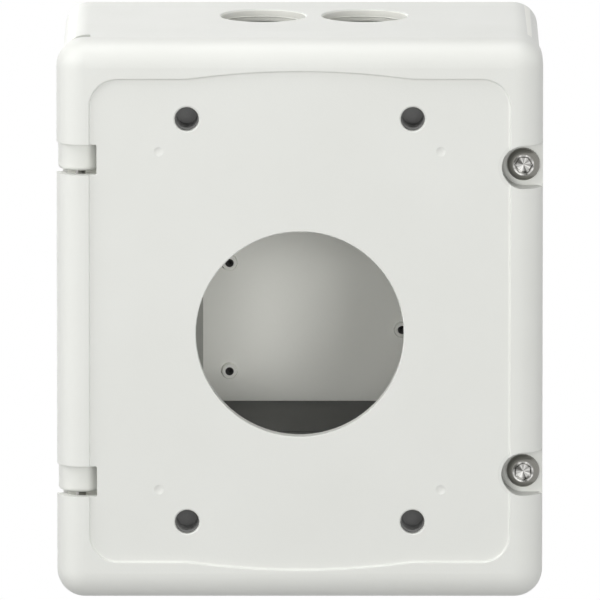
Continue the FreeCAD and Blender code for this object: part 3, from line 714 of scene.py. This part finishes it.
def add_board_inserts():
    """Dark steel blind thread insert in each of the three bosses on the back wall; its dark colour
    is also painted shade for the deep holes.
    """
    outside, rim, bore = 0.00172, 0.00160, 0.00125
    model = turned_piece("board_insert", [
        (0.0042, 0.0015), (0.0038, outside), (0.0002, outside), (0.0001, rim),
        (0.0006, bore), (0.0036, bore), (0.0042, 0.0003)], steps=48)
    ridge = helix("board_ridge", root=0.00127, crest=0.00095, pitch=0.0005, turns=6, foot=0.00045)
    lay_ridge(ridge, (0, 0.0004, 0))
    set_down(ridge)
    joined(model, [ridge])
    for place, (x, z) in BOARD_HOLES.items():
        insert = copied(model, "board_insert_" + place)
        insert.location = (x, BOARD_BOSS_Y, z)
        # Dark steel, which also paints the shade of the deep holes
        steel = machined("board insert " + place, DARK_STEEL, (x, 0, z), roughness=0.5,
                         metallic=0.4)
        finish_piece(insert, steel, "housing")
    bpy.data.objects.remove(model)


def add_seal(material):
    """Silicone seal: a square foot in the door's groove and a lip that narrows in two steps
    towards the neck."""
    corner, band, lip_step = 0.009, 0.004, 0.0005
    foot_share, lip_shares = 0.55, (0.33, 0.12)
    low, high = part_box("door_gasket")
    depth = high.y - low.y
    seal = added(bpy.ops.mesh.primitive_plane_add, "ribbed_seal", size=1.0,
                 location=((low.x + high.x) / 2, low.y, (low.z + high.z) / 2), rotation=ALONG_Y)
    seal.scale = (high.x - low.x, high.z - low.z, 1)
    set_down(seal)
    begin_edit()
    bpy.ops.mesh.bevel(offset=corner, segments=10, affect="VERTICES")
    bpy.ops.mesh.select_all(action="SELECT")
    bpy.ops.mesh.inset(thickness=band)
    bpy.ops.mesh.delete(type="FACE")
    bpy.ops.mesh.select_all(action="SELECT")
    pulled(foot_share * depth)
    for share in lip_shares:
        bpy.ops.mesh.inset(thickness=lip_step, use_even_offset=True)
        pulled(share * depth)
    end_edit()
    finish_piece(seal, material, "door", angle=40.0)
    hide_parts("door_gasket")


def add_module(material, steel):
    """Power module: two moulded shells with a seam, a sunk front with cooling ribs, four screws
    and two feet."""
    low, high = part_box("power_module")
    middle = (0.0, (low.z + high.z) / 2)
    height = high.z - low.z
    back, front = high.y, low.y
    seam, seam_width, seam_depth = front + 0.0070, 0.0009, 0.0006
    case = grown_block("module_case", MODULE_WIDTH, height, middle, [
        (back, 0.0), (seam, 0.0), (seam - 0.0001, seam_depth), (seam - seam_width, seam_depth),
        (seam - 0.0010, 0.0), (front + 0.0015, 0.0), (front + 0.0008, 0.0002),
        (front + 0.0003, 0.0007), (front, 0.0014), (front, 0.0060),
        (front + 0.0012, 0.0066)], corner=0.0016)
    feet = grown_block("module_feet", high.x - low.x, 0.016, middle, [
        (back, 0.0), (back - 0.0036, 0.0), (back - 0.0040, 0.0004)], corner=0.003)
    for side in (-1, 1):
        cut_away(feet, added(bpy.ops.mesh.primitive_cylinder_add, "foot_hole", vertices=48,
                             radius=0.0022, depth=0.02, rotation=ALONG_Y,
                             location=(side * FOOT_HOLE_X, back, middle[1])))
    rib_gap, rib_width, rib_margin = 0.005, 0.0022, 0.018
    ribs = [grown_block("module_rib", rib_width, height - rib_margin,
                        (rib_gap * step, middle[1]), [
                            (front + 0.0014, 0.0), (front + 0.0006, 0.0001),
                            (front + 0.0002, 0.0004)], corner=0.0010)
            for step in range(-6, 7)]
    joined(case, [feet] + ribs)
    case.name = "ribbed_module"
    finish_piece(case, material, "housing")
    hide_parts("power_module")
    screw_inset = 0.0095
    model = turned_piece("module_screw", [
        (0.0008, 0.0018), (-0.0002, 0.0018), (-0.0005, 0.0016), (-0.0006, 0.0012),
        (-0.0006, 0.0007), (-0.0002, 0.0006)], steps=32)
    corners = ((-1, -1), (-1, 1), (1, -1), (1, 1))
    for number, (side, end) in enumerate(corners, start=1):
        screw = copied(model, "module_screw_%d" % number)
        screw.location = (side * (MODULE_WIDTH / 2 - screw_inset), front + 0.0012,
                          middle[1] + end * (height / 2 - screw_inset))
        finish_piece(screw, steel, "housing")
    bpy.data.objects.remove(model)


def add_pieces(looks):
    """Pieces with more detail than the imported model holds."""
    add_screws()
    add_conduit_threads(looks["housing"])
    add_bush_threads()
    add_board_inserts()
    add_seal(looks["seal"])
    add_module(looks["module"], looks["steel"])


def sees_background(tree):
    """1 for rays that show the background: from the camera, off gloss and through glass."""
    path = put(tree, "ShaderNodeLightPath").outputs
    first = math_node(tree, "MAXIMUM", path["Is Camera Ray"], path["Is Glossy Ray"])
    return math_node(tree, "MAXIMUM", first, path["Is Transmission Ray"])


def white_to_look_at(tree, lit, white, output):
    """Lets one shader light the box while the other is what the camera sees."""
    mix = put(tree, "ShaderNodeMixShader")
    for socket, value in zip(mix.inputs, (sees_background(tree), lit, white)):
        tree.links.new(value, socket)
    put(tree, output, Surface=mix.outputs[0])


def studio_world():
    """White to look at, and a soft light from all round that is weaker from below."""
    world = bpy.data.worlds.new("studio")
    world.use_nodes = True
    bpy.context.scene.world = world
    tree = world.node_tree
    tree.nodes.clear()
    place = put(tree, "ShaderNodeTexCoord").outputs["Generated"]
    level = ramp(tree, parts_of(tree, place)["Z"], -1.0, 0.4, *SKY)
    soft = put(tree, "ShaderNodeBackground", Strength=level)
    white = put(tree, "ShaderNodeBackground", Color=WHITE, Strength=1.0)
    white_to_look_at(tree, soft.outputs[0], white.outputs[0], "ShaderNodeOutputWorld")


def soft_panel(name, towards, distance, size, energy, mirrored):
    """Square panel of soft light in a direction from the box, turned to it."""
    towards = Vector(towards).normalized()
    panel = bpy.data.lights.new(name, "AREA")
    panel.shape = "SQUARE"
    panel.size = size
    panel.energy = energy
    lamp = bpy.data.objects.new(name, panel)
    lamp.location = Vector(LAMP_AIM) + towards * distance
    lamp.rotation_mode = "QUATERNION"
    lamp.rotation_quaternion = (-towards).to_track_quat("-Z", "Y")
    lamp.visible_glossy = mirrored
    bpy.context.scene.collection.objects.link(lamp)


def studio_floor():
    """Pale floor well below the box, which hangs on its wall."""
    floor = added(bpy.ops.mesh.primitive_plane_add, "studio_floor", size=FLOOR_SIZE,
                  location=(0, 0, FLOOR_Z))
    material = bpy.data.materials.new("pale floor")
    material.use_nodes = True
    tree = material.node_tree
    tree.nodes.clear()
    paint = put(tree, "ShaderNodeBsdfDiffuse", Color=(FLOOR_GREY, FLOOR_GREY, FLOOR_GREY, 1))
    white = put(tree, "ShaderNodeEmission", Color=WHITE, Strength=1.0)
    white_to_look_at(tree, paint.outputs[0], white.outputs[0], "ShaderNodeOutputMaterial")
    floor.data.materials.append(material)


add_camera()
add_pieces(dress_all())
studio_world()
for lamp in LAMPS:
    soft_panel(*lamp)
studio_floor()
bpy.context.scene.view_settings.view_transform = "Standard"
